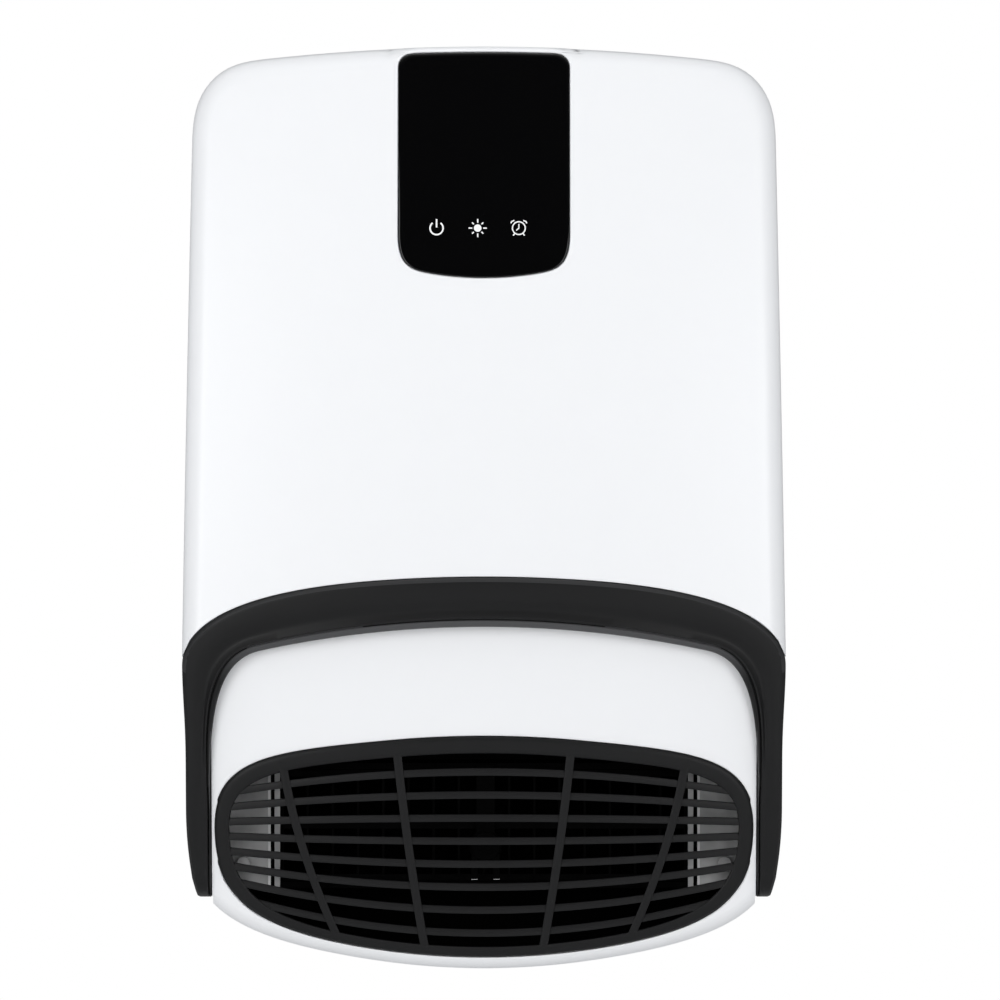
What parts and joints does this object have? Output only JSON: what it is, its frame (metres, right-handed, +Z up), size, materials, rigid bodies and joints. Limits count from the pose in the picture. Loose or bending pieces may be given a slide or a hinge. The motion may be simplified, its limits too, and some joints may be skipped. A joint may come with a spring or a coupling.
{
  "type": "wall fan heater",
  "caption": "Bathroom wall fan heater with a bowed white case, black touch panel, egg-shaped dark outlet grille and fold-out towel rail.",
  "frame": {"origin": "middle of the wall bracket's back face, on the wall", "axes": "+X to the right seen from the front, +Y into the wall, +Z up; the front faces -Y"},
  "size_m": [0.2734, 0.1259, 0.4188],
  "materials": {
    "white_plastic": "satin white moulded plastic",
    "dark_plastic": "satin anthracite moulded plastic",
    "black_glass": "polished black glass, printed from behind",
    "black_plastic": "matt black moulded plastic",
    "steel": "zinc-plated sheet",
    "aluminium": "plain",
    "circuit_board": "green solder mask",
    "rubber": "matt",
    "cream_plastic": "matt"
  },
  "bodies": {
    "case": {"wall_bracket": "steel", "rear_casing": "white_plastic", "front_cover": "white_plastic", "outlet_housing": "white_plastic", "outlet_grille": "dark_plastic", "rail_friction_washer_right": "steel", "rail_friction_washer_left": "steel", "touch_panel": "black_glass", "control_board": "circuit_board", "board_carrier": "black_plastic", "buzzer": "black_plastic", "touch_spring_power": "steel", "touch_spring_heat": "steel", "touch_spring_timer": "steel", "power_board": "circuit_board", "relay_heater": "black_plastic", "relay_fan": "black_plastic", "capacitor": "aluminium", "terminal_block": "cream_plastic", "cable_gland": "rubber", "ptc_frame": "black_plastic", "ptc_core": "aluminium", "ptc_plate_right": "steel", "ptc_plate_left": "steel", "cutout_bracket": "steel", "thermal_cutout": "steel", "blower_end_left": "steel", "blower_end_right": "steel", "fan_scroll": "steel", "fan_tongue": "steel", "fan_bearing": "rubber", "motor_bracket": "steel", "motor_stator": "steel", "switch_body": "black_plastic", "case_screw_upper_right": "steel", "ear_screw_upper_right": "steel", "case_screw_upper_left": "steel", "ear_screw_upper_left": "steel", "case_screw_lower_right": "steel", "ear_screw_lower_right": "steel", "case_screw_lower_left": "steel", "ear_screw_lower_left": "steel"},
    "rail": {"towel_rail": "dark_plastic", "rail_pivot_right": "steel", "rail_pivot_left": "steel"},
    "fan": {"fan_rotor": "black_plastic", "fan_shaft": "steel", "motor_rotor": "aluminium"},
    "rocker": {"switch_rocker": "black_plastic"}
  },
  "joints": [
    {"name": "rail_fold", "type": "hinge", "parent": "case", "child": "rail", "pos_m": [0, -0.07193, -0.214], "axis": [1, 0, 0], "range_deg": [0, 70]},
    {"name": "fan_spin", "type": "hinge", "parent": "case", "child": "fan", "pos_m": [0, -0.043, -0.125], "axis": [1, 0, 0], "continuous": true},
    {"name": "rocker_tilt", "type": "hinge", "parent": "case", "child": "rocker", "pos_m": [0.1306, -0.03, -0.07], "axis": [0, -1, 0], "range_deg": [0, 20]}
  ]
}
